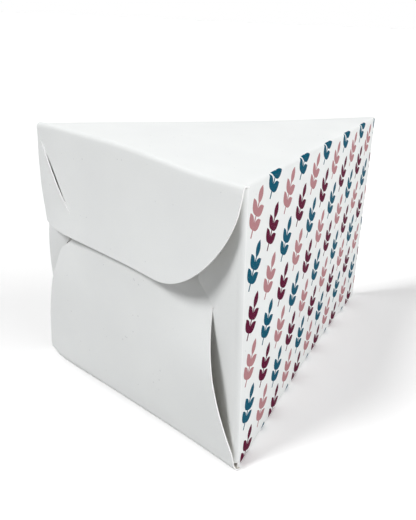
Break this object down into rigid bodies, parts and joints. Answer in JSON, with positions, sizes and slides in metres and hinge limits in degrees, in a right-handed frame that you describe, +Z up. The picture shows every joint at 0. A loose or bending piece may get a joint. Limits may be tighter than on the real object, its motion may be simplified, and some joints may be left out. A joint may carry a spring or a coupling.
{
  "type": "cake slice box",
  "caption": "Wedge-shaped folded card box for a slice of cake, shut at its wide end by folded flaps under a hinged top flap with one rounded corner and a slit",
  "frame": {"origin": "middle of the footprint, on the surface the box stands on", "axes": "+Z up, +Y towards the narrow end, X across the wide end"},
  "size_m": [0.105, 0.1516, 0.0945],
  "materials": {
    "white_card": "matt uncoated white card with a small print on its walls"
  },
  "bodies": {
    "carton": {"carton": "white_card"},
    "top_flap": {"top_flap": "white_card"}
  },
  "joints": [
    {"name": "top_flap_hinge", "type": "hinge", "parent": "carton", "child": "top_flap", "pos_m": [0, -0.06975, 0.0938], "axis": [-1, 0, 0], "range_deg": [0, 150]}
  ]
}
